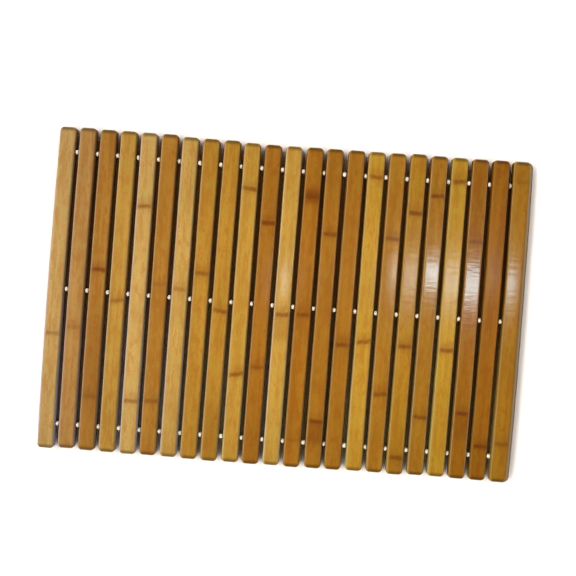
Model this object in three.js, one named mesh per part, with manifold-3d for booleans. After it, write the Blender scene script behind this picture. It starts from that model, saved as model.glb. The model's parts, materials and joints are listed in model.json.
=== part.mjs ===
// A bamboo bath mat: flat slats side by side, strung on three cords, with a round spacer bead in every gap.
// Millimetres, +Z up. The origin is under the middle of the mat, on the surface that the mat lies on.
// +X runs across the slats, from the left-hand slat to the right-hand one, and +Y runs along them.

import * as THREE from "three";
import { mergeVertices } from "three/addons/utils/BufferGeometryUtils.js";
import Module from "manifold-3d";

// Driving dimensions of a slat
const SLAT_WIDTH = 21;
const SLAT_LENGTH = 402;
const SLAT_THICKNESS = 10;
const GAP = 5; // between neighbouring slats
const EDGE_ROUND = 2.5; // the easing of every edge, above and below
const EDGE_STEPS = 2;
const CORNER = { radius: 4, segments: 2 }; // a slat's corners seen from above
const RIGHT_OUTER_CORNER = { radius: 8, segments: 3 };
const OUTER_SHOULDER = 4; // how much wider the right-hand slat is than the others, on its outer side
const SIDE_STEPS = 4; // along each long side of a slat that curves
const STRAIGHT = 0.05; // a slat whose ends curve in by less than this is drawn straight
const END_TUCK = 1.5; // how far the ends of the outermost slats curve in towards the mat's middle

// Driving dimensions of the cords and their beads
const CORD_RADIUS = 1.25;
const BORE_RADIUS = 1.9;
const BLIND_BORE_DEPTH = 15; // in the two outermost slats, where the cords end
const CLEARANCE = 0.3; // between a bead and the slats beside it, and past a cord's end
const BEAD_RADIUS = 3.1;
const BEAD_FULLNESS = 0.8; // 1 would be as round as a ball, less is fuller towards a bead's ends
const BEAD_STEPS = 5;
const ROUND_SIDES = 8; // of the bores, cords and beads
const CUTTER_OVERSHOOT = 1; // how far a through bore is cut past a slat's side

// The tones of lacquered bamboo, from the palest to the darkest, and the beads' ivory white
const TONES = {
  straw: 0xcda25a,
  light_golden: 0xc79540,
  honey: 0xbc8a46,
  golden: 0xb9842f,
  amber: 0xad762a,
  caramel: 0xa86c1f,
  dark_caramel: 0x985f19,
};
const IVORY = 0xf3dfbd;

// One row for each slat, from the left: its tone, how far its +Y and -Y ends stand past its nominal length,
// and how far its +Y end leans towards +X of its -Y end
const SLATS = [
  { tone: "straw", far: 2.0, near: 1.0, lean: 2.0 },
  { tone: "honey", far: 2.4, near: -0.6, lean: 1.5 },
  { tone: "amber", far: 2.0, near: 0.0, lean: 1.0 },
  { tone: "light_golden", far: 2.0, near: 0.4, lean: 1.0 },
  { tone: "straw", far: 2.0, near: 0.6, lean: 0.0 },
  { tone: "amber", far: 2.0, near: 0.2, lean: 0.5 },
  { tone: "straw", far: 0.4, near: 0.2, lean: 0.5 },
  { tone: "golden", far: 0.0, near: 0.9, lean: 1.0 },
  { tone: "golden", far: 0.2, near: 1.2, lean: 1.5 },
  { tone: "light_golden", far: -1.3, near: 0.7, lean: 0.0 },
  { tone: "caramel", far: -1.6, near: 0.9, lean: 0.5 },
  { tone: "straw", far: -1.6, near: 0.4, lean: 0.5 },
  { tone: "caramel", far: -1.3, near: 0.9, lean: 1.0 },
  { tone: "caramel", far: -1.1, near: 0.0, lean: -1.0 },
  { tone: "caramel", far: -1.0, near: 0.0, lean: 1.0 },
  { tone: "light_golden", far: -0.9, near: -0.8, lean: -0.5 },
  { tone: "amber", far: -0.7, near: -0.8, lean: 0.0 },
  { tone: "golden", far: 0.4, near: -0.2, lean: 0.5 },
  { tone: "amber", far: -0.3, near: -1.3, lean: 0.0 },
  { tone: "light_golden", far: -0.5, near: -1.8, lean: 0.0 },
  { tone: "dark_caramel", far: -0.3, near: -1.3, lean: -0.5 },
  { tone: "dark_caramel", far: -0.3, near: -0.8, lean: -1.0 },
  { tone: "amber", far: 0.3, near: -0.7, lean: -1.5 },
];

// One row for each cord: where it crosses the mat's middle, how far it leans towards +Y at its right-hand
// end, and how far it bows towards +Y at both ends, because the slats have slid a little along each other
const CORDS = [
  { name: "beaded_cord_far", middle: 169.5, lean: -1.0, bow: 2.3 },
  { name: "beaded_cord_centre", middle: -0.7, lean: 0.2, bow: 1.3 },
  { name: "beaded_cord_near", middle: -170.2, lean: 0.8, bow: 0.5 },
];

// What follows from them
const PITCH = SLAT_WIDTH + GAP;
const HALF_WIDTH = SLAT_WIDTH / 2;
const HALF_LENGTH = SLAT_LENGTH / 2;
const HALF_SPAN = ((SLATS.length - 1) * PITCH) / 2; // from the middle slat's axis to an end slat's
const CORD_HEIGHT = SLAT_THICKNESS / 2;

const slatX = (index) => index * PITCH - HALF_SPAN;
const tuck = (index) => END_TUCK * (slatX(index) / HALF_SPAN) ** 3;

// How far a slat's axis stands towards +X of its straight place, at a height y along the mat
function drift(index, y) {
  const along = y / HALF_LENGTH;
  return (SLATS[index].lean / 2) * along - tuck(index) * along ** 2;
}

function cordY(cord, x) {
  const along = x / HALF_SPAN;
  return cord.middle + cord.lean * along + cord.bow * along ** 2;
}

// The sides of the gap after a slat, where a cord crosses it
function gapSides(index, cord) {
  const y = cordY(cord, slatX(index) + PITCH / 2);
  return {
    left: slatX(index) + drift(index, y) + HALF_WIDTH,
    right: slatX(index + 1) + drift(index + 1, y) - HALF_WIDTH,
  };
}

// Solids for cutting
const wasm = await Module();
wasm.setup();

function asSolid(geometry) {
  const bare = geometry.clone();
  bare.deleteAttribute("normal");
  bare.deleteAttribute("uv");
  const merged = mergeVertices(bare);
  const vertProperties = Float32Array.from(merged.attributes.position.array);
  const triVerts = Uint32Array.from(merged.index.array);
  return new wasm.Manifold(new wasm.Mesh({ numProp: 3, vertProperties, triVerts }));
}

function asGeometry(solid) {
  const mesh = solid.getMesh();
  const geometry = new THREE.BufferGeometry();
  geometry.setAttribute("position", new THREE.BufferAttribute(mesh.vertProperties, 3));
  geometry.setIndex(new THREE.BufferAttribute(mesh.triVerts, 1));
  geometry.computeVertexNormals();
  return geometry;
}

// A slat: a flat bar with eased edges and rounded ends, drawn around its own axis
function drawSide(outline, index, x, from, to) {
  const steps = Math.abs(tuck(index)) > STRAIGHT ? SIDE_STEPS : 1;
  for (let step = 1; step <= steps; step += 1) {
    const y = from + ((to - from) * step) / steps;
    outline.lineTo(x + drift(index, y), y);
  }
}

function drawCorner(outline, index, x, y, radius, startAngle) {
  outline.absarc(x + drift(index, y), y, radius, startAngle, startAngle + Math.PI / 2, false);
}

function slatOutline(index, leftRadius, rightRadius, rightSide) {
  const bottom = -HALF_LENGTH - SLATS[index].near;
  const top = HALF_LENGTH + SLATS[index].far;
  const left = leftRadius - HALF_WIDTH; // the centres of the corners' arcs
  const right = rightSide - rightRadius;
  const outline = new THREE.Shape();
  outline.moveTo(left + drift(index, bottom), bottom);
  drawCorner(outline, index, right, bottom + rightRadius, rightRadius, -Math.PI / 2);
  drawSide(outline, index, rightSide, bottom + rightRadius, top - rightRadius);
  drawCorner(outline, index, right, top - rightRadius, rightRadius, 0);
  drawCorner(outline, index, left, top - leftRadius, leftRadius, Math.PI / 2);
  drawSide(outline, index, -HALF_WIDTH, top - leftRadius, bottom + leftRadius);
  drawCorner(outline, index, left, bottom + leftRadius, leftRadius, Math.PI);
  return outline;
}

function slatBlank(index) {
  const isRightHand = index === SLATS.length - 1;
  const rightCorner = isRightHand ? RIGHT_OUTER_CORNER : CORNER;
  const rightSide = isRightHand ? HALF_WIDTH + OUTER_SHOULDER : HALF_WIDTH;
  const outline = slatOutline(index, CORNER.radius, rightCorner.radius, rightSide);
  const blank = new THREE.ExtrudeGeometry(outline, {
    depth: SLAT_THICKNESS - 2 * EDGE_ROUND,
    bevelEnabled: true,
    bevelSize: EDGE_ROUND,
    bevelOffset: -EDGE_ROUND,
    bevelThickness: EDGE_ROUND,
    bevelSegments: EDGE_STEPS,
    curveSegments: rightCorner.segments,
  });
  return blank.translate(0, 0, EDGE_ROUND);
}

// The bores go right through a slat, but stop short of the outer side of the two outermost ones
function boreCutter(index, cord) {
  const past = HALF_WIDTH + CUTTER_OVERSHOOT;
  const blind = BLIND_BORE_DEPTH - HALF_WIDTH;
  const start = index === 0 ? -blind : -past;
  const end = index === SLATS.length - 1 ? blind : past;
  const y = cordY(cord, slatX(index));
  const cutter = new THREE.CylinderGeometry(BORE_RADIUS, BORE_RADIUS, end - start, ROUND_SIDES);
  cutter.rotateZ(-Math.PI / 2);
  return cutter.translate((start + end) / 2 + drift(index, y), y, CORD_HEIGHT);
}

function makeSlat(slat, index) {
  let solid = asSolid(slatBlank(index));
  for (const cord of CORDS) {
    solid = solid.subtract(asSolid(boreCutter(index, cord)));
  }
  const bamboo = new THREE.MeshStandardMaterial({ color: TONES[slat.tone], roughness: 0.35, metalness: 0 });
  const mesh = new THREE.Mesh(asGeometry(solid), bamboo);
  mesh.name = `slat_${String(index + 1).padStart(2, "0")}`;
  mesh.position.x = slatX(index);
  return mesh;
}

// A cord with its beads on it: one string, turned about the cord's axis and then bowed along +Y
function beadProfile(gap) {
  const mouth = Math.asin((CORD_RADIUS / BEAD_RADIUS) ** (1 / BEAD_FULLNESS)); // where it meets the cord
  const centre = (gap.left + gap.right) / 2;
  const halfLength = ((gap.right - gap.left) / 2 - CLEARANCE) / Math.cos(mouth);
  const points = [];
  for (let step = 0; step <= BEAD_STEPS; step += 1) {
    const angle = mouth + ((Math.PI - 2 * mouth) * step) / BEAD_STEPS;
    const radius = BEAD_RADIUS * Math.sin(angle) ** BEAD_FULLNESS;
    points.push(new THREE.Vector2(radius, centre - halfLength * Math.cos(angle)));
  }
  return points;
}

function makeBeadedCord(cord) {
  const gaps = SLATS.slice(1).map((_, index) => gapSides(index, cord));
  const inBore = BLIND_BORE_DEPTH - CLEARANCE;
  const start = gaps[0].left - inBore;
  const end = gaps[gaps.length - 1].right + inBore;
  const profile = [
    new THREE.Vector2(0, start),
    new THREE.Vector2(CORD_RADIUS, start),
    ...gaps.flatMap(beadProfile),
    new THREE.Vector2(CORD_RADIUS, end),
    new THREE.Vector2(0, end),
  ];

  const string = new THREE.LatheGeometry(profile, ROUND_SIDES).rotateZ(-Math.PI / 2);
  const place = string.attributes.position;
  for (let vertex = 0; vertex < place.count; vertex += 1) {
    place.setY(vertex, place.getY(vertex) + cordY(cord, place.getX(vertex)));
  }
  string.computeVertexNormals();
  const plastic = new THREE.MeshStandardMaterial({ color: IVORY, roughness: 0.3, metalness: 0 });
  const mesh = new THREE.Mesh(string, plastic);
  mesh.name = cord.name;
  mesh.position.z = CORD_HEIGHT;
  return mesh;
}

// The whole mat, moved until the middle of its outline is over the origin
const mat = new THREE.Group();
mat.name = "bamboo_mat";
mat.add(...SLATS.map(makeSlat));
mat.add(...CORDS.map(makeBeadedCord));
const middle = new THREE.Box3().setFromObject(mat).getCenter(new THREE.Vector3());
mat.position.set(-middle.x, -middle.y, 0);

export default mat;
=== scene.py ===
"""The looks of a bamboo bath mat: lacquered slats strung on three cords, with a round bead in every gap.

Everything is in metres in the model's own frame: +X across the slats, +Y along them, +Z up. Lengths are
written in millimetres and multiplied by MM, unless a comment gives them another unit.
"""

import json
import math
import random
from collections import namedtuple

import bmesh
import bpy
import numpy as np
from mathutils import Matrix, Vector


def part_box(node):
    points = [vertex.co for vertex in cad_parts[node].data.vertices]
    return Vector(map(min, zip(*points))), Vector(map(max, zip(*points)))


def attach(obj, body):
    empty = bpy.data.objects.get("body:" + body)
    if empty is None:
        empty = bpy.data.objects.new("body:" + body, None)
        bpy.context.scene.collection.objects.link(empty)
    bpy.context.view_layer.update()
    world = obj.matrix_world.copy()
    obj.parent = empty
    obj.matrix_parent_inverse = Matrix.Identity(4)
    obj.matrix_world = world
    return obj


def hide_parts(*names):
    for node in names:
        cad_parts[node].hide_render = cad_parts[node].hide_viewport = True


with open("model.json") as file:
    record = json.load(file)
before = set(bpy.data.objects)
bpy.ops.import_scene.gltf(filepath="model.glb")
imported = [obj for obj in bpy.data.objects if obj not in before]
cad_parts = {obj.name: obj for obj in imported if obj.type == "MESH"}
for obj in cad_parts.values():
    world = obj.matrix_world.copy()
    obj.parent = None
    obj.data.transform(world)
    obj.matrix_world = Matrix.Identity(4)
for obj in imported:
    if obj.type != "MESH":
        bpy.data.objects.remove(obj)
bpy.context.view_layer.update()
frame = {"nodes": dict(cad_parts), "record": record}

MM = 0.001
TOLERANCE = 0.01 * MM
TINY = 1e-9

# Slats, as in the model
SLAT_COUNT = 23
SLAT_WIDTH = 21 * MM
THICKNESS = 10 * MM
MODEL_EDGE_ROUND = 2.5 * MM
RIGHT_OUTER_CORNER = 8 * MM
OUTER_SHOULDER = 4 * MM
BORE_RADIUS = 1.9 * MM
BORE_DEPTH = 15 * MM
HALF_WIDTH = SLAT_WIDTH / 2

# Slats, finer than in the model: corners, eased edges and the right-hand slat's broad outer shoulder
CORNER = 5 * MM
EDGE_DEPTH = 2.5 * MM
EDGE_WIDTH = 2.2 * MM
OUTER_EDGE_DEPTH = 3 * MM
OUTER_EDGE_WIDTH = 6 * MM

# How finely a slat is meshed
EDGE_STEPS = 8
CORNER_STEP = 1.2 * MM
ACROSS_STEPS = 8
ALONG_STEP = 5 * MM
SIDE_LEVELS = 4
BORE_SIDES = 24
SHARP_ANGLE = math.radians(40)

# How far hand finishing leaves a slat from true: the crown of its top, waves whose lengths along the slat
# are drawn within a factor of those given, and how soon along the slat its lean reaches its full height
CROWN = 0.16 * MM
WIDTH_WAVE = 0.16 * MM
LEFT_WAVE_LENGTHS = (260 * MM, 110 * MM, 45 * MM)
RIGHT_WAVE_LENGTHS = (240 * MM, 120 * MM, 50 * MM)
TOP_WAVE = 0.03 * MM
TOP_WAVE_LENGTHS = (230 * MM, 90 * MM, 40 * MM)
WAVE_LENGTH_DRAW = (0.8, 1.25)
LEAN_REACH = 60 * MM

# Share of a slat's half width beyond which its points lie on its long sides, and not on a blind bore's end
CLEAR_OF_BORES = 0.7

# How far a bar that cuts a bore stands out past the slat
CUT_PAST = 1 * MM

# Cords, and the beads' radius, as in the model
CORD_NODES = ("beaded_cord_far", "beaded_cord_centre", "beaded_cord_near")
CORD_RADIUS = 1.25 * MM
BEAD_RADIUS = 3.1 * MM

# Beads, finer than in the model: how full their shape is, from 1 for a ball down to 0 for a drum, their
# hole with its softened rim, the gap left to the slats, and the draws of their size and of their turn in
# degrees
BEAD_FULLNESS = 0.42
BEAD_HOLE = 1.35 * MM
BEAD_MOUTH = 0.25 * MM
BEAD_RIM = 0.15 * MM
BEAD_CLEARANCE = 0.1 * MM
BEAD_SIZES = (0.96, 1.0)
BEAD_TURNS = (-3, 3)

# How finely the cords and beads are meshed
CORD_SIDES = 16
CORD_STEP = 4 * MM
BEAD_SIDES = 28
BEAD_STEPS = 16
HOLE_STEPS = 4

# How each slat looks, from the left: its brightness beside its tone, how much more orange it is than its
# tone, how far its top leans to the right and, halfway along, to the far end, both in degrees, and its
# lacquer
Look = namedtuple("Look", "shade warmth roll pitch gloss")
LOOKS = [
    Look(0.88, 0.0, 0.0, 0.3, 0.35),
    Look(0.91, 0.0, 0.2, -0.2, 0.35),
    Look(0.97, -0.4, -0.1, 0.4, 0.35),
    Look(0.90, 0.0, 0.1, -0.3, 0.35),
    Look(0.98, 0.0, -0.2, 0.2, 0.35),
    Look(1.04, -0.3, 0.1, -0.4, 0.35),
    Look(0.94, 0.4, 0.0, 0.3, 0.35),
    Look(1.02, 0.0, 0.2, -0.2, 0.35),
    Look(1.02, 0.0, -0.2, 0.2, 0.35),
    Look(0.98, 0.0, 0.0, -0.3, 0.35),
    Look(1.00, 0.0, 0.1, 0.2, 0.35),
    Look(0.97, 1.0, 0.0, 0.0, 0.90),
    Look(1.05, 0.0, -0.1, -0.2, 0.20),
    Look(1.04, -0.5, 0.1, 0.3, 0.35),
    Look(1.00, -0.4, -0.1, -0.2, 0.35),
    Look(0.98, 0.2, 0.2, 0.3, 0.35),
    Look(1.02, 0.0, 0.9, -0.1, 0.60),
    Look(0.95, 0.5, 2.5, 0.3, 0.50),
    Look(0.91, 0.0, 0.0, -0.4, 1.00),
    Look(0.90, 0.2, 0.3, 0.5, 0.55),
    Look(1.10, -0.6, 0.0, 0.7, 1.00),
    Look(1.04, 0.0, 0.6, -1.1, 0.15),
    Look(0.88, 0.0, 0.2, 0.3, 0.80),
]

# The culm's nodes that show as dark bands: slat number, place along it in mm, darkness, and tilt across it
# in mm
Mark = namedtuple("Mark", "slat y dark tilt")
MARKS = [
    Mark(1, -57, 0.45, 0.5),
    Mark(2, -47, 0.35, 0.0),
    Mark(3, 27, 0.75, -0.5),
    Mark(3, -133, 0.25, 0.0),
    Mark(4, -10, 0.55, 1.0),
    Mark(5, 110, 0.60, 0.5),
    Mark(5, -135, 0.55, 0.0),
    Mark(6, 15, 0.25, 0.0),
    Mark(6, -133, 0.50, 0.5),
    Mark(7, 10, 0.45, 0.0),
    Mark(8, 32, 0.55, 0.0),
    Mark(9, -13, 0.60, -1.0),
    Mark(10, 142, 0.70, -1.5),
    Mark(10, -91, 0.70, 2.5),
    Mark(11, 101, 0.75, 0.0),
    Mark(11, -80, 0.45, 0.5),
    Mark(12, -12, 0.70, 0.5),
    Mark(13, 138, 0.45, 0.0),
    Mark(13, -10, 0.60, 0.5),
    Mark(13, -168, 0.25, 0.0),
    Mark(14, 93, 0.60, 0.0),
    Mark(14, -142, 0.55, -0.5),
    Mark(15, -44, 0.60, 0.0),
    Mark(16, 168, 0.60, -1.0),
    Mark(16, -38, 0.65, 2.0),
    Mark(17, 93, 0.65, 0.0),
    Mark(17, -102, 0.60, 1.0),
    Mark(18, 127, 0.75, 0.0),
    Mark(18, -40, 0.65, 0.5),
    Mark(18, -180, 0.55, -0.5),
    Mark(19, 150, 0.65, 0.5),
    Mark(19, -127, 0.60, 0.0),
    Mark(20, 170, 0.70, 1.0),
    Mark(20, -41, 0.65, 0.0),
    Mark(21, 97, 0.50, 0.0),
    Mark(21, -118, 0.65, 0.0),
    Mark(22, -158, 0.65, 0.5),
    Mark(23, 175, 0.25, 0.0),
    Mark(23, -153, 0.45, 0.0),
]

# Longer stretches that are darker than the rest: slat number, middle and half length in mm, darkening
Patch = namedtuple("Patch", "slat y reach dark")
PATCHES = [
    Patch(3, -90, 70, 0.15),
    Patch(9, -170, 40, 0.15),
    Patch(12, -30, 16, 0.15),
    Patch(13, 138, 10, 0.25),
    Patch(14, -157, 16, 0.25),
    Patch(18, -187, 12, 0.15),
    Patch(21, -137, 16, 0.14),
]

# Tones: how much of its green and blue a slat shows, the blue at the left and at the right of the mat,
# which is painted sheen that leaves the slats paler and bluer towards the light at the left, and how much
# green and blue a slat's warmth takes away
GREEN = 1.03
LEFT_SHEEN_BLUE = 1.50
RIGHT_SHEEN_BLUE = 0.55
WARM_GREEN = 0.08
WARM_BLUE = 0.3

# Tints beside a slat's tone, in red, green and blue: its own marks, and painted light and shade
LIGHT_STREAK = (1.18, 1.22, 1.25)
DARK_STREAK = (0.80, 0.72, 0.55)
GREEN_BLOTCH = (0.96, 1.12, 1.0)
BROWN_BLOTCH = (0.90, 0.77, 0.58)
SPECKLE = (0.82, 0.70, 0.52)
FLECK = (0.62, 0.50, 0.35)
NODE_BROWN = (0.52, 0.33, 0.18)
# Painted shade: a dark band along the rounded ends
END_BAND_SHADE = (0.36, 0.39, 0.40)
# Painted sheen: a pale olive band along each slat's left side
LEFT_SHEEN = (0.86, 1.0, 2.0)
# Painted light on left-facing shoulders and painted shade on right-facing ones
LIT_LEFT_SHOULDER = (0.74, 0.94, 2.3)
SHADED_RIGHT_SHOULDER = (0.50, 0.58, 1.1)
# Painted shade on the sides in the gaps, turning to painted light towards the near end
SHADED_SIDE = (0.32, 0.26, 0.15)
LIT_NEAR_SIDE = (0.48, 0.72, 2.4)
# Painted shade on the right-hand slat's broad outer shoulder
OUTER_RIM_SHADE = (0.40, 0.52, 1.8)
PALE_END = (0.52, 0.49, 0.42)
DEEP_END = (0.32, 0.28, 0.22)

# Sizes of the bamboo's random features across, along and through a slat, in mm
BROAD_STREAKS = (6, 160, 6)
STREAKS = (1.6, 90, 3)
FIBRES = (0.35, 24, 0.8)
SLOW_CHANGES = (30, 70, 30)
BLOTCHES = (5, 16, 5)
SPECKLES = (1.8, 3.5, 2)
RIPPLES = (5, 12, 5)
UNEVENNESS = (6, 7, 5)
END_DOTS = (0.45, 40, 0.45)
PLANING = (16, 5, 16)

# In mm: how far from a slat's ends its painted shade along the rounded end starts and is full, and how
# far from its middle the painted shade that darkens it towards both ends starts and is full
END_SHADE_REACH = 6.5
END_SHADE_FULL = 2.6
END_DIMMING = (60, 190)

# In mm: how far from a slat's left side its painted sheen, a pale olive band, starts to fade and ends,
# between which places along a slat its sides turn from painted light to painted shade, and where across
# the right-hand slat the painted shade on its broad outer shoulder starts and is full
LEFT_SHEEN_BAND = (1.5, 4.5)
SIDE_LIGHT_SPAN = (-180, 60)
OUTER_RIM_SHADE_SPAN = (5.0, 12.0)

# How much a surface faces sideways, or lengthways, from 0 to 1, where these start and are full: the
# shoulders' painted light and shade, the sides' painted shade, the end grain, and the thinning out of
# the lacquer
SHOULDER_SLOPES = (0.06, 0.45)
SIDE_SLOPES = (0.45, 0.95)
END_SLOPES = (0.60, 0.95)
BARE_SLOPES = (0.35, 0.80)

# A patch's darkness is full up to the first of these shares of its reach and gone at the second
PATCH_FADE = (0.5, 1.3)
PATCH_STRENGTH = 2.2

# In mm: how far a node's line wobbles in all, between which distances from it the darkness fades, and the
# same for the weaker halo, whose middle lies a little towards the far end
NODE_WOBBLE = 3.5
NODE_FADE = (0.5, 4.4)
HALO_OFFSET = 3.0
HALO_FADE = (1.5, 14.0)
HALO_STRENGTH = 0.45

# Heights of the bamboo's relief, in mm
FIBRE_HEIGHT = 0.006
PLANING_HEIGHT = 0.10
NODE_DEPTH = 0.03

# Tints of the beads and cords beside the record's ivory, and of their cloudy parts
BEAD_TINT = (0.82, 0.82, 0.80)
CORD_TINT = (0.86, 0.74, 0.60)
CLOUDY_TINT = (0.97, 0.94, 0.86)

# The photograph's camera
LENS = 43.0
SENSOR_WIDTH = 36.0
CAMERA_PLACE = Vector((12.08, 40.54, 869.67)) * MM
CAMERA_TURNS = {"X": -1.228, "Y": 0.584, "Z": 4.380}

# Lights that only show in the gloss: name, place, width and height in metres, and power in watts
Softbox = namedtuple("Softbox", "name place width height power")
SOFTBOXES = [
    Softbox("window_seen_in_gloss", (0.435, 0.050, 0.90), 0.300, 0.086, 0.38),
    Softbox("bright_pane_seen_in_gloss", (0.435, 0.059, 0.89), 0.300, 0.056, 0.42),
    Softbox("brightest_pane_seen_in_gloss", (0.435, 0.065, 0.88), 0.300, 0.030, 0.38),
    Softbox("lamp_seen_in_gloss", (-0.0165, 0.023, 0.90), 0.040, 0.054, 0.10),
]
WINDOW_TINT = (0.66, 0.91, 1.0)

# Brightness of the room's walls with the window and without, how much of it is left at their foot, the
# slopes between which they brighten and then fade into the dark ceiling, and how gradually one wall turns
# into the other
WINDOW_WALL = 5.8
OTHER_WALL = 2.8
WALL_FOOT = 0.35
WALL_STARTS = (0.1, 0.55)
WALL_FADES = (0.95, 1.75)
WALL_TURN = 0.15
CEILING = 0.035
CEILING_TINT = (1.0, 0.55, 0.18, 1.0)
WHITE = (1.0, 1.0, 1.0, 1.0)

# Floor: its tone, how far it reaches in metres, and its height just under the mat
FLOOR_TONE = (0.95, 0.95, 0.95, 1.0)
FLOOR_REACH = 6.0
FLOOR_HEIGHT = -0.05 * MM


def points_of(node):
    """A model node's points, one row each."""
    mesh = frame["nodes"][node].data
    flat = np.empty(len(mesh.vertices) * 3)
    mesh.vertices.foreach_get("co", flat)
    return flat.reshape(-1, 3)


def parabola(along, across):
    """The parabola that fits the points best: a function from the place along to the place across."""
    factors = np.polyfit(along, across, 2)
    return lambda place: np.polyval(factors, place)


def slat_name(number):
    return f"slat_{number:02d}"


def right_side(number):
    """How far a slat reaches to the right of its axis. The right-hand slat has a wider outer shoulder."""
    return HALF_WIDTH + OUTER_SHOULDER if number == SLAT_COUNT else HALF_WIDTH


def slat_axis(number):
    """A slat's axis in the model, x for each y, from the points on its two long sides."""
    node = slat_name(number)
    low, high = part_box(node)
    middle = (low.x + high.x) / 2
    points = points_of(node)
    on_side = np.abs(points[:, 2] - THICKNESS / 2) < THICKNESS / 2 - MODEL_EDGE_ROUND + TOLERANCE
    clear_of_low_end = points[:, 1] > low.y + RIGHT_OUTER_CORNER
    clear_of_high_end = points[:, 1] < high.y - RIGHT_OUTER_CORNER
    not_in_bore = np.abs(points[:, 0] - middle) > CLEAR_OF_BORES * HALF_WIDTH
    side = points[on_side & clear_of_low_end & clear_of_high_end & not_in_bore]
    reach = np.where(side[:, 0] > middle, right_side(number), -HALF_WIDTH)
    return parabola(side[:, 1], side[:, 0] - reach)


def cord_line(node):
    """A cord's line in the model, y for each x."""
    points = points_of(node)
    return parabola(points[:, 0], points[:, 1])


AXES = [slat_axis(number) for number in range(1, SLAT_COUNT + 1)]
CORD_LINES = {node: cord_line(node) for node in CORD_NODES}


def wave(seed, lengths):
    """A smooth irregular function of one place, within about -1 to 1, from a few sine waves."""
    draw = random.Random(seed)
    parts = []
    for length in lengths:
        rate = 2 * math.pi / (length * draw.uniform(*WAVE_LENGTH_DRAW))
        parts.append((rate, draw.uniform(0, 2 * math.pi)))
    return lambda place: sum(np.sin(rate * place + phase) for rate, phase in parts) / len(parts)


# Shapes of the slats


def edge_lines(radius, edge_width):
    """Distances from a slat's outline of its lines of points, close together over the eased edge."""
    angles = [math.pi / 2 * step / EDGE_STEPS for step in range(EDGE_STEPS + 1)]
    eased = [edge_width * (1 - math.cos(angle)) for angle in angles]
    spare = radius - edge_width
    steps = math.ceil(spare / CORNER_STEP)
    return eased + [edge_width + spare * step / steps for step in range(1, steps + 1)]


def grid_lines(low, high, low_radius, high_radius, high_edge_width, steps):
    """Places of the lines of points from one side of a slat's outline to the other."""
    start = [low + distance for distance in edge_lines(low_radius, EDGE_WIDTH)]
    end = [high - distance for distance in reversed(edge_lines(high_radius, high_edge_width))]
    middle = np.linspace(start[-1], end[0], steps + 1)[1:-1]
    return np.array(start + list(middle) + end)


def round_corners(across, along, bottom, top, right, left_radius, right_radius):
    """Moves the points of a square-cornered grid into a round-cornered outline.

    Also gives how far inside the outline each point lies, and how much the outline faces sideways there.
    """
    radius = np.where(across < 0, left_radius, right_radius)
    side = np.where(across < 0, HALF_WIDTH, right)
    past_x = np.maximum(np.abs(across) - (side - radius), 0)
    past_y = np.maximum(np.maximum(along - (top - radius), bottom + radius - along), 0)
    reach = np.maximum(past_x, past_y)
    straight_off = np.maximum(np.hypot(past_x, past_y), TINY)
    shrink = reach / straight_off
    corner = (past_x > 0) & (past_y > 0)
    keep = np.where(corner, 1 - shrink, 0)
    x = across - np.sign(across) * past_x * keep
    y = along - np.sign(along - (bottom + top) / 2) * past_y * keep
    return x, y, radius - reach, past_x / straight_off


def slat_surface(number):
    """The points and faces of a slat before its bores are cut, as lists."""
    node = slat_name(number)
    low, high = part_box(node)
    right = right_side(number)
    right_radius, right_width, right_depth = CORNER, EDGE_WIDTH, EDGE_DEPTH
    if number == SLAT_COUNT:
        right_radius, right_width, right_depth = RIGHT_OUTER_CORNER, OUTER_EDGE_WIDTH, OUTER_EDGE_DEPTH
    columns = grid_lines(-HALF_WIDTH, right, CORNER, right_radius, right_width, ACROSS_STEPS)
    along_steps = round((high.y - low.y) / ALONG_STEP)
    rows = grid_lines(low.y, high.y, right_radius, right_radius, EDGE_WIDTH, along_steps)
    across, along = np.meshgrid(columns, rows)
    x, y, inside, sideways = round_corners(across, along, low.y, high.y, right, CORNER, right_radius)

    on_right = np.where(across > 0, sideways, 0)
    edge_width = EDGE_WIDTH + (right_width - EDGE_WIDTH) * on_right
    edge_depth = EDGE_DEPTH + (right_depth - EDGE_DEPTH) * on_right
    eased = np.clip(1 - inside / edge_width, 0, 1)
    drop = edge_depth * (1 - np.sqrt(1 - eased**2))
    look = LOOKS[number - 1]
    crown = CROWN * (1 - (x / HALF_WIDTH) ** 2)
    roll = -math.radians(look.roll) * x
    top_wave = TOP_WAVE * wave(f"top {number}", TOP_WAVE_LENGTHS)(y)
    lean = -math.radians(look.pitch) * LEAN_REACH * np.tanh(y / LEAN_REACH)
    over = THICKNESS - drop - CROWN + crown + roll + top_wave + lean
    under = drop

    side_wave = wave(f"left {number}", LEFT_WAVE_LENGTHS)(y) * (x < 0)
    side_wave = side_wave + wave(f"right {number}", RIGHT_WAVE_LENGTHS)(y) * (x > 0)
    width_factor = 1 + side_wave * WIDTH_WAVE / HALF_WIDTH
    bent_x = x * width_factor + AXES[number - 1](y)
    return stacked_grids(bent_x, y, over, under)


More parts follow.
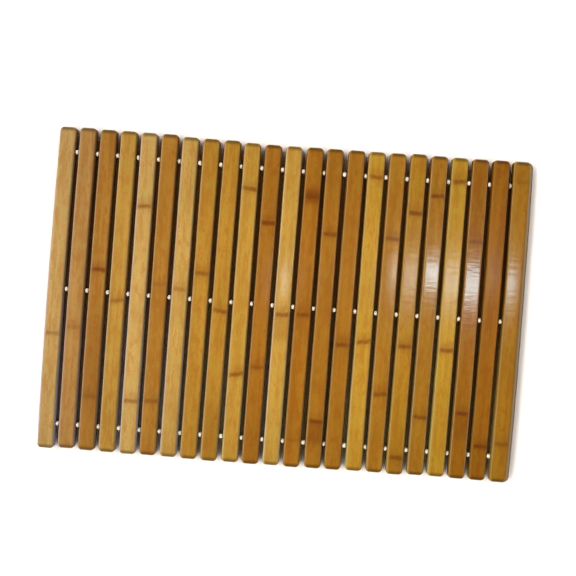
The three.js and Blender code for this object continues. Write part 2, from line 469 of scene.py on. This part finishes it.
def stacked_grids(x, y, over, under):
    """A closed body from two grids of one outline, one above the other, with sides between their rims."""
    rows, columns = x.shape
    size = rows * columns
    points = list(zip(x.ravel(), y.ravel(), over.ravel()))
    points += list(zip(x.ravel(), y.ravel(), under.ravel()))
    faces = []
    for row in range(rows - 1):
        for column in range(columns - 1):
            a = row * columns + column
            quad = (a, a + 1, a + columns + 1, a + columns)
            faces.append(quad)
            faces.append(tuple(size + corner for corner in reversed(quad)))

    rim = list(range(columns))
    rim += [row * columns + columns - 1 for row in range(1, rows)]
    rim += [(rows - 1) * columns + column for column in range(columns - 2, -1, -1)]
    rim += [row * columns for row in range(rows - 2, 0, -1)]
    level = [size + corner for corner in rim]
    for step in range(1, SIDE_LEVELS + 1):
        share = step / SIDE_LEVELS
        if step == SIDE_LEVELS:
            above = rim
        else:
            above = range(len(points), len(points) + len(rim))
            heights = [points[size + corner][2] * (1 - share) + points[corner][2] * share for corner in rim]
            points += [(points[corner][0], points[corner][1], z) for corner, z in zip(rim, heights)]
        for k in range(len(rim)):
            after = (k + 1) % len(rim)
            faces.append((level[k], level[after], above[after], above[k]))
        level = list(above)
    return points, faces


def new_object(name, points, faces):
    mesh = bpy.data.meshes.new(name)
    mesh.from_pydata([tuple(map(float, point)) for point in points], [], faces)
    mesh.update()
    piece = bpy.data.objects.new(name, mesh)
    bpy.context.scene.collection.objects.link(piece)
    return piece


def shade(piece):
    """Smooth shading that keeps the rims of holes sharp."""
    mesh = piece.data
    mesh.polygons.foreach_set("use_smooth", [True] * len(mesh.polygons))
    mesh.set_sharp_from_angle(angle=SHARP_ANGLE)


def bore_cutter(number):
    """Three round bars that cut a slat's bores: through, but blind in the outer side of the two end slats."""
    past = HALF_WIDTH + CUT_PAST
    blind = BORE_DEPTH - HALF_WIDTH
    start = -blind if number == 1 else -past
    end = blind if number == SLAT_COUNT else past
    bars = bmesh.new()
    axis = AXES[number - 1]
    for line in CORD_LINES.values():
        y = line(axis(0))
        place = Matrix.Translation((axis(y) + (start + end) / 2, y, THICKNESS / 2))
        turn = Matrix.Rotation(math.pi / 2, 4, "Y")
        bmesh.ops.create_cone(
            bars,
            cap_ends=True,
            segments=BORE_SIDES,
            radius1=BORE_RADIUS,
            radius2=BORE_RADIUS,
            depth=end - start,
            matrix=place @ turn,
        )
    mesh = bpy.data.meshes.new("bore_cutter")
    bars.to_mesh(mesh)
    bars.free()
    cutter = bpy.data.objects.new("bore_cutter", mesh)
    bpy.context.scene.collection.objects.link(cutter)
    return cutter


def apply_modifiers(piece):
    """Makes the piece's mesh what its modifiers give, and removes them."""
    graph = bpy.context.evaluated_depsgraph_get()
    finished = bpy.data.meshes.new_from_object(piece.evaluated_get(graph))
    piece.modifiers.clear()
    piece.data = finished


def make_slat(number):
    points, faces = slat_surface(number)
    slat = new_object(f"bamboo_slat_{number:02d}", points, faces)
    cutter = bore_cutter(number)
    cut = slat.modifiers.new("bores", "BOOLEAN")
    cut.operation = "DIFFERENCE"
    cut.solver = "EXACT"
    cut.object = cutter
    apply_modifiers(slat)
    bpy.data.objects.remove(cutter)
    shade(slat)
    return slat


# Shapes of the beads and cords


def lathe(profile, sides):
    """Points and faces of a closed profile of (radius, place along X) turned about the X axis."""
    points = []
    for turn in range(sides):
        angle = 2 * math.pi * turn / sides
        across, up = math.cos(angle), math.sin(angle)
        points += [(along, radius * across, radius * up) for radius, along in profile]
    count = len(profile)
    faces = []
    for turn in range(sides):
        after = (turn + 1) % sides
        for step in range(count):
            next_step = (step + 1) % count
            a, b = turn * count, after * count
            faces.append((a + step, b + step, b + next_step, a + next_step))
    return points, faces


def bead_profile(half_length):
    """A round bead with a hole through it and a softened rim around the hole."""
    mouth = math.asin(((BEAD_HOLE + BEAD_MOUTH) / BEAD_RADIUS) ** (1 / BEAD_FULLNESS))
    stretch = half_length / math.cos(mouth)
    outside = []
    for step in range(BEAD_STEPS + 1):
        angle = mouth + (math.pi - 2 * mouth) * step / BEAD_STEPS
        outside.append((BEAD_RADIUS * math.sin(angle) ** BEAD_FULLNESS, -stretch * math.cos(angle)))
    rim = half_length - BEAD_RIM
    hole = [(BEAD_HOLE, rim * (1 - 2 * step / HOLE_STEPS)) for step in range(HOLE_STEPS + 1)]
    return outside + hole


def gap_sides(number, line):
    """The x of both sides of the gap after a slat, where a cord crosses it, and the cord's y there."""
    left_axis, right_axis = AXES[number - 1], AXES[number]
    y = line((left_axis(0) + right_axis(0)) / 2)
    return left_axis(y) + HALF_WIDTH, right_axis(y) - HALF_WIDTH, y


def make_beads(node):
    """One row of beads as one mesh. Each fills its own gap and is turned a little its own way."""
    line = CORD_LINES[node]
    draw = random.Random(f"beads {node}")
    points, faces = [], []
    for number in range(1, SLAT_COUNT):
        left, right, y = gap_sides(number, line)
        half_length = (right - left) / 2 - BEAD_CLEARANCE
        bead_points, bead_faces = lathe(bead_profile(half_length), BEAD_SIDES)
        size = draw.uniform(*BEAD_SIZES)
        yaw = draw.uniform(*BEAD_TURNS)
        place = Matrix.Translation(((left + right) / 2, y, THICKNESS / 2))
        turn = Matrix.Rotation(math.radians(yaw), 4, "Z")
        turn = turn @ Matrix.Diagonal((1, size, size, 1))
        start = len(points)
        points += [place @ turn @ Vector(point) for point in bead_points]
        faces += [tuple(start + corner for corner in face) for face in bead_faces]
    beads = new_object(node.replace("beaded_cord", "beads"), points, faces)
    shade(beads)
    return beads


def make_cord(node):
    """One cord, round and closed at both ends, along its line in the model."""
    line = CORD_LINES[node]
    low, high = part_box(node)
    steps = round((high.x - low.x) / CORD_STEP)
    points, faces = [], []
    for step in range(steps + 1):
        x = low.x + (high.x - low.x) * step / steps
        for side in range(CORD_SIDES):
            angle = 2 * math.pi * side / CORD_SIDES
            y = line(x) + CORD_RADIUS * math.cos(angle)
            z = THICKNESS / 2 + CORD_RADIUS * math.sin(angle)
            points.append((x, y, z))
    for step in range(steps):
        for side in range(CORD_SIDES):
            after = (side + 1) % CORD_SIDES
            a, b = step * CORD_SIDES, (step + 1) * CORD_SIDES
            faces.append((a + side, a + after, b + after, b + side))
    faces.append(tuple(range(CORD_SIDES - 1, -1, -1)))
    faces.append(tuple(range(steps * CORD_SIDES, (steps + 1) * CORD_SIDES)))
    cord = new_object(node.replace("beaded_cord", "cord"), points, faces)
    shade(cord)
    return cord


# Materials


class Steps:
    """Adds nodes to a material one by one. What a socket is given is a number, a colour or an output."""

    def __init__(self, material):
        material.use_nodes = True
        self.tree = material.node_tree
        self.tree.nodes.clear()

    def add(self, kind, inputs=(), **settings):
        node = self.tree.nodes.new(kind)
        for name, value in settings.items():
            setattr(node, name, value)
        for socket, value in dict(inputs).items():
            self.put(node.inputs[socket], value)
        return node

    def put(self, socket, value):
        if isinstance(value, bpy.types.NodeSocket):
            self.tree.links.new(value, socket)
        else:
            socket.default_value = value

    def math(self, operation, first, second=0.0):
        return self.add("ShaderNodeMath", {0: first, 1: second}, operation=operation).outputs[0]

    def total(self, values):
        """The sum of some outputs, or 0 where there is none."""
        result = 0.0
        for value in values:
            result = self.math("ADD", result, value)
        return result

    def noise(self, place, size, seed, detail=2.0, roughness=0.5):
        """Noise between about 0 and 1, whose features have the given size along X, Y and Z in mm."""
        rates = tuple(1 / length for length in size)
        mapping = {"Vector": place, "Location": seed, "Scale": rates}
        mapped = self.add("ShaderNodeMapping", mapping).outputs[0]
        inputs = {"Vector": mapped, "Scale": 1.0, "Detail": detail, "Roughness": roughness}
        return self.add("ShaderNodeTexNoise", inputs).outputs[0]

    def spread(self, value, low, high, to_low, to_high):
        """Goes smoothly from to_low, where the value is low or less, to to_high, where it is high or more."""
        inputs = {"Value": value, "From Min": low, "From Max": high, "To Min": to_low, "To Max": to_high}
        return self.add("ShaderNodeMapRange", inputs, interpolation_type="SMOOTHSTEP").outputs[0]

    def rise(self, value, low, high, top=1.0):
        """0 where the value is low or less, and rising smoothly to the top where it is high or more."""
        return self.spread(value, low, high, 0.0, top)

    def fall(self, value, low, high, top=1.0):
        """The top where the value is low or less, and falling smoothly to 0 where it is high or more."""
        return self.spread(value, low, high, top, 0.0)

    def mix(self, share, first, second, how="MIX"):
        node = self.add("ShaderNodeMix", data_type="RGBA", blend_type=how, clamp_factor=True)
        self.put(node.inputs[0], share)
        self.put(node.inputs[6], first)
        self.put(node.inputs[7], second)
        return node.outputs[2]


def opaque(values):
    return tuple(values[:3]) + (1.0,)


def scaled(values, factors):
    return tuple(value * factor for value, factor in zip(values, factors)) + (1.0,)


def tone_with_sheen(number, tone):
    """A slat's colour from its tone in the record, with a painted sheen that is bluer towards the left."""
    look = LOOKS[number - 1]
    place = (number - 1) / (SLAT_COUNT - 1)
    green = GREEN - WARM_GREEN * look.warmth
    # Painted sheen: more blue towards the left of the mat, less towards the right
    blue = (LEFT_SHEEN_BLUE + (RIGHT_SHEEN_BLUE - LEFT_SHEEN_BLUE) * place) * (1 - WARM_BLUE * look.warmth)
    return scaled(tone, (look.shade, look.shade * green, look.shade * blue))[:3]


class Strip:
    """The material of one slat while it is made: its place on the slat in mm, and its colour so far."""

    def __init__(self, number, tone):
        self.number = number
        self.material = bpy.data.materials.new(f"bamboo_{number:02d}")
        self.steps = Steps(self.material)
        self.draw = random.Random(f"bamboo {number}")
        self.base = tone_with_sheen(number, tone)
        self.body = opaque(self.base)

        centre = Vector((AXES[number - 1](0), 0, THICKNESS / 2))
        coordinates = self.steps.add("ShaderNodeTexCoord").outputs["Object"]
        inputs = {"Vector": coordinates, "Location": -centre / MM, "Scale": (1 / MM,) * 3}
        self.place = self.steps.add("ShaderNodeMapping", inputs).outputs[0]
        parts = self.steps.add("ShaderNodeSeparateXYZ", {0: self.place})
        self.x, self.y = parts.outputs[0], parts.outputs[1]

    def noise(self, size, detail=2.0, roughness=0.5):
        """Noise of this slat's own."""
        seed = tuple(self.draw.uniform(-50, 50) for _ in range(3))
        return self.steps.noise(self.place, size, seed, detail, roughness)

    def cover(self, share, tint):
        """Lays a tint of the slat's tone over its colour: its marks, and painted light and shade."""
        self.body = self.steps.mix(share, self.body, scaled(self.base, tint))


def lay_streaks(strip):
    """Streaks along the slat and slow changes of tone. Gives the fine fibres too, for flecks and relief."""
    steps = strip.steps
    broad = strip.noise(BROAD_STREAKS, detail=1.0)
    streaks = strip.noise(STREAKS)
    fibres = strip.noise(FIBRES, roughness=0.6)
    slow = strip.noise(SLOW_CHANGES, detail=1.0)
    weights = ((broad, 0.42), (streaks, 0.28), (slow, 0.30))
    lightness = steps.total([steps.math("MULTIPLY", cloud, weight) for cloud, weight in weights])
    dark, light = scaled(strip.base, DARK_STREAK), scaled(strip.base, LIGHT_STREAK)
    strip.body = steps.mix(steps.rise(lightness, 0.32, 0.68), dark, light)
    return fibres


def lay_blotches(strip, fibres):
    """Greenish and brown blotches, speckles, and flecks along the fibres."""
    steps = strip.steps
    blotches = strip.noise(BLOTCHES, detail=4.0, roughness=0.7)
    strip.cover(steps.rise(blotches, 0.50, 0.62, top=0.85), GREEN_BLOTCH)
    strip.cover(steps.fall(blotches, 0.38, 0.50, top=0.85), BROWN_BLOTCH)
    speckles = strip.noise(SPECKLES, detail=3.0, roughness=0.7)
    strip.cover(steps.rise(speckles, 0.50, 0.68, top=0.45), SPECKLE)
    strip.cover(steps.rise(fibres, 0.58, 0.74, top=0.42), FLECK)


def patch_darkness(strip, patch):
    steps = strip.steps
    off = steps.math("ABSOLUTE", steps.math("SUBTRACT", strip.y, float(patch.y)))
    full, gone = PATCH_FADE
    return steps.fall(off, patch.reach * full, patch.reach * gone, top=patch.dark * PATCH_STRENGTH)


def node_line_and_halo(strip, mark, ripple, uneven):
    """How dark a node's line is at each place, and how dark the halo around it is."""
    steps = strip.steps
    slanted = steps.math("MULTIPLY", strip.x, mark.tilt / (HALF_WIDTH / MM))
    wobble = steps.math("MULTIPLY", steps.math("SUBTRACT", ripple, 0.5), NODE_WOBBLE)
    off = steps.math("SUBTRACT", strip.y, float(mark.y))
    off = steps.math("SUBTRACT", steps.math("SUBTRACT", off, slanted), wobble)
    far = steps.math("ABSOLUTE", off)
    line = steps.math("MULTIPLY", steps.fall(far, *NODE_FADE, top=mark.dark), uneven)
    above = steps.math("ABSOLUTE", steps.math("SUBTRACT", off, HALO_OFFSET))
    halo = steps.fall(above, *HALO_FADE, top=mark.dark * HALO_STRENGTH)
    return line, halo


def lay_nodes(strip):
    """The culm's nodes and the slat's darker patches. Gives the nodes' lines and an unevenness too."""
    steps = strip.steps
    darkness = [patch_darkness(strip, patch) for patch in PATCHES if patch.slat == strip.number]
    ripple = strip.noise(RIPPLES, detail=3.0)
    uneven = steps.spread(strip.noise(UNEVENNESS), 0.3, 0.7, 0.75, 1.2)
    lines = []
    for mark in MARKS:
        if mark.slat == strip.number:
            line, halo = node_line_and_halo(strip, mark, ripple, uneven)
            lines.append(line)
            darkness += [line, halo]
    strip.cover(steps.math("MINIMUM", steps.total(darkness), 1.0), NODE_BROWN)
    return lines, uneven


def lay_end_shade(strip):
    """Painted shade: a dark band along the rounded ends, and a slight darkening towards both ends."""
    steps = strip.steps
    number = strip.number
    low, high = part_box(slat_name(number))
    half_length = (high.y - low.y) / 2 / MM
    middle = (high.y + low.y) / 2 / MM
    from_middle = steps.math("ABSOLUTE", steps.math("SUBTRACT", strip.y, middle))
    # Painted shade along the rounded ends
    end_shade = steps.rise(from_middle, half_length - END_SHADE_REACH, half_length - END_SHADE_FULL, top=0.95)
    strip.cover(end_shade, END_BAND_SHADE)
    # Painted shade: darker towards both ends, where less light falls than in the middle
    dimmed = steps.spread(from_middle, *END_DIMMING, 1.0, 0.88)
    dimming_factor = steps.add("ShaderNodeCombineColor", {0: dimmed, 1: dimmed, 2: dimmed}).outputs[0]
    strip.body = steps.mix(1.0, strip.body, dimming_factor, "MULTIPLY")


def lay_painted_light_and_shade(strip, uneven, sideways):
    """Painted light and shade: a pale left band, the shoulders, the sides and the right-hand slat's rim."""
    steps = strip.steps
    left_rim = -HALF_WIDTH / MM
    # Painted sheen: a pale band along the left side
    band = steps.fall(strip.x, left_rim + LEFT_SHEEN_BAND[0], left_rim + LEFT_SHEEN_BAND[1], top=0.6)
    strip.cover(steps.math("MULTIPLY", band, uneven), LEFT_SHEEN)
    leftwards = steps.math("MULTIPLY", sideways, -1.0)
    # Painted light on the shoulders facing left, painted shade on those facing right
    strip.cover(steps.rise(leftwards, *SHOULDER_SLOPES, top=0.85), LIT_LEFT_SHOULDER)
    strip.cover(steps.rise(sideways, *SHOULDER_SLOPES, top=0.85), SHADED_RIGHT_SHOULDER)

    # Painted shade on the sides in the gaps, turning to painted light towards the near end
    near = steps.fall(strip.y, *SIDE_LIGHT_SPAN)
    side = steps.mix(near, scaled(strip.base, SHADED_SIDE), scaled(strip.base, LIT_NEAR_SIDE))
    steep = steps.rise(steps.math("ABSOLUTE", sideways), *SIDE_SLOPES, top=0.9)
    strip.body = steps.mix(steep, strip.body, side)
    # Painted shade on the right-hand slat's outer shoulder
    if strip.number == SLAT_COUNT:
        strip.cover(steps.rise(strip.x, *OUTER_RIM_SHADE_SPAN, top=0.9), OUTER_RIM_SHADE)


def lay_end_grain(strip, lengthways):
    """The end grain on a slat's two end faces: pale with deep dots."""
    steps = strip.steps
    dots = strip.noise(END_DOTS, detail=1.0)
    pale, deep = scaled(strip.base, PALE_END), scaled(strip.base, DEEP_END)
    grain = steps.mix(steps.rise(dots, 0.45, 0.65), pale, deep)
    end = steps.rise(steps.math("ABSOLUTE", lengthways), *END_SLOPES, top=0.85)
    strip.body = steps.mix(end, strip.body, grain)


def relief(strip, fibres, lines):
    """The bump of the fibres, of the planing across them and of the nodes' slight grooves."""
    steps = strip.steps
    planing = strip.noise(PLANING)
    height = steps.math("MULTIPLY", fibres, FIBRE_HEIGHT)
    height = steps.math("ADD", height, steps.math("MULTIPLY", planing, PLANING_HEIGHT))
    groove = steps.math("MULTIPLY", steps.total(lines), NODE_DEPTH)
    height = steps.math("SUBTRACT", height, groove)
    return steps.add("ShaderNodeBump", {"Height": height, "Strength": 1.0, "Distance": MM}).outputs[0]


def bamboo(number, tone):
    """Lacquered strip bamboo: fibres, slow changes of tone, the culm's nodes, and painted light and shade."""
    strip = Strip(number, tone)
    steps = strip.steps
    normal = steps.add("ShaderNodeNewGeometry").outputs["Normal"]
    facing = steps.add("ShaderNodeSeparateXYZ", {0: normal})
    sideways, lengthways = facing.outputs[0], facing.outputs[1]
    fibres = lay_streaks(strip)
    lay_blotches(strip, fibres)
    lines, uneven = lay_nodes(strip)
    lay_end_shade(strip)
    lay_painted_light_and_shade(strip, uneven, sideways)
    lay_end_grain(strip, lengthways)
    bump = relief(strip, fibres, lines)

    gloss = LOOKS[number - 1].gloss
    lacquered = steps.fall(steps.math("ABSOLUTE", sideways), *BARE_SLOPES)
    shader = steps.add(
        "ShaderNodeBsdfPrincipled",
        {
            "Base Color": strip.body,
            "Roughness": steps.spread(fibres, 0.3, 0.7, 0.34, 0.46),
            "Normal": bump,
            "Specular IOR Level": steps.math("MULTIPLY", lacquered, 0.10),
            "Coat Weight": steps.math("MULTIPLY", lacquered, gloss),
            "Coat Roughness": 0.20 - 0.07 * gloss,
            "Coat Normal": bump,
        },
    )
    output = steps.add("ShaderNodeOutputMaterial")
    steps.put(output.inputs["Surface"], shader.outputs[0])
    return strip.material


def ivory(name, tone, roughness, grain):
    """Smooth moulded plastic with a faint cloudiness."""
    material = bpy.data.materials.new(name)
    steps = Steps(material)
    coordinates = steps.add("ShaderNodeTexCoord").outputs["Object"]
    mapping = {"Vector": coordinates, "Scale": (1 / MM,) * 3}
    place = steps.add("ShaderNodeMapping", mapping).outputs[0]
    cloud = steps.noise(place, (4, 4, 4), (3.0, 8.0, 1.0))
    body = steps.mix(steps.rise(cloud, 0.35, 0.65), opaque(tone), scaled(tone, CLOUDY_TINT))
    fine = steps.noise(place, grain, (1.0, 2.0, 5.0))
    bump = steps.add("ShaderNodeBump", {"Height": fine, "Strength": 0.15, "Distance": 0.03 * MM})
    shader = steps.add(
        "ShaderNodeBsdfPrincipled",
        {
            "Base Color": body,
            "Roughness": roughness,
            "Normal": bump.outputs[0],
            "Coat Weight": 0.5,
            "Coat Roughness": 0.10,
        },
    )
    output = steps.add("ShaderNodeOutputMaterial")
    steps.put(output.inputs["Surface"], shader.outputs[0])
    return material


# Putting the mat together

tones = {row["slot"]: row["base_color"] for row in frame["record"]["materials"]}
slots = {row["node"]: row["material_slot"] for row in frame["record"]["subparts"]}

for number in range(1, SLAT_COUNT + 1):
    node = slat_name(number)
    slat = make_slat(number)
    slat.data.materials.append(bamboo(number, tones[slots[node]]))
    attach(slat, "root")
    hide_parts(node)

bead_plastic = ivory("ivory_bead", scaled(tones["ivory_plastic"], BEAD_TINT), 0.22, (2, 2, 2))
cord_plastic = ivory("ivory_cord", scaled(tones["ivory_plastic"], CORD_TINT), 0.4, (1.2, 0.3, 0.3))
for node in CORD_NODES:
    for piece, plastic in ((make_beads(node), bead_plastic), (make_cord(node), cord_plastic)):
        piece.data.materials.append(plastic)
        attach(piece, "root")
        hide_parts(node)


# Floor, lights and camera


def make_floor():
    """A plain pale floor just under the mat."""
    material = bpy.data.materials.new("pale_floor")
    steps = Steps(material)
    inputs = {"Base Color": FLOOR_TONE, "Roughness": 0.8, "Specular IOR Level": 0.1}
    shader = steps.add("ShaderNodeBsdfPrincipled", inputs)
    output = steps.add("ShaderNodeOutputMaterial")
    steps.put(output.inputs["Surface"], shader.outputs[0])
    signs = ((-1, -1), (1, -1), (1, 1), (-1, 1))
    corners = [(x * FLOOR_REACH, y * FLOOR_REACH, FLOOR_HEIGHT) for x, y in signs]
    floor = new_object("floor", corners, [(0, 1, 2, 3)])
    floor.data.materials.append(material)


def make_softbox(box):
    """A bluish light high over the mat, facing straight down, which only shows in glossy surfaces."""
    light = bpy.data.lights.new(box.name, "AREA")
    light.shape = "RECTANGLE"
    light.size = box.width
    light.size_y = box.height
    light.energy = box.power
    light.color = WINDOW_TINT
    lamp = bpy.data.objects.new(box.name, light)
    lamp.location = box.place
    lamp.visible_diffuse = False
    bpy.context.scene.collection.objects.link(lamp)


def make_room():
    """The room: a bright window wall on the left, a dimmer one on the right, dark above, white behind."""
    world = bpy.data.worlds.new("room")
    steps = Steps(world)
    direction = steps.add("ShaderNodeTexCoord").outputs["Generated"]
    parts = steps.add("ShaderNodeSeparateXYZ", {0: direction})
    aside = steps.math("MAXIMUM", steps.math("ABSOLUTE", parts.outputs[0]), 0.001)
    slope = steps.math("DIVIDE", parts.outputs[2], aside)
    low = steps.fall(slope, *WALL_FADES)
    low = steps.math("MULTIPLY", low, steps.spread(slope, *WALL_STARTS, WALL_FOOT, 1.0))
    side = steps.spread(parts.outputs[0], -WALL_TURN, WALL_TURN, WINDOW_WALL, OTHER_WALL)
    strength = steps.math("ADD", steps.math("MULTIPLY", low, side), CEILING)
    seen = steps.add("ShaderNodeLightPath").outputs["Is Camera Ray"]
    strength = steps.math("MAXIMUM", strength, seen)
    tint = steps.mix(steps.math("MAXIMUM", low, seen), CEILING_TINT, WHITE)
    background = steps.add("ShaderNodeBackground", {"Color": tint, "Strength": strength})
    output = steps.add("ShaderNodeOutputWorld")
    steps.put(output.inputs["Surface"], background.outputs[0])
    bpy.context.scene.world = world


def make_lights():
    for box in SOFTBOXES:
        make_softbox(box)
    make_room()


def make_camera():
    camera = bpy.data.cameras.new("camera")
    camera.lens = LENS
    camera.sensor_width = SENSOR_WIDTH
    camera.clip_start = 0.01
    holder = bpy.data.objects.new("camera", camera)
    turn = Matrix.Identity(4)
    for axis, degrees in CAMERA_TURNS.items():
        turn = turn @ Matrix.Rotation(math.radians(degrees), 4, axis)
    holder.matrix_world = Matrix.Translation(CAMERA_PLACE) @ turn
    bpy.context.scene.collection.objects.link(holder)
    bpy.context.scene.camera = holder


make_floor()
make_lights()
make_camera()
bpy.context.scene.view_settings.view_transform = "Standard"
bpy.context.scene.view_settings.look = "None"
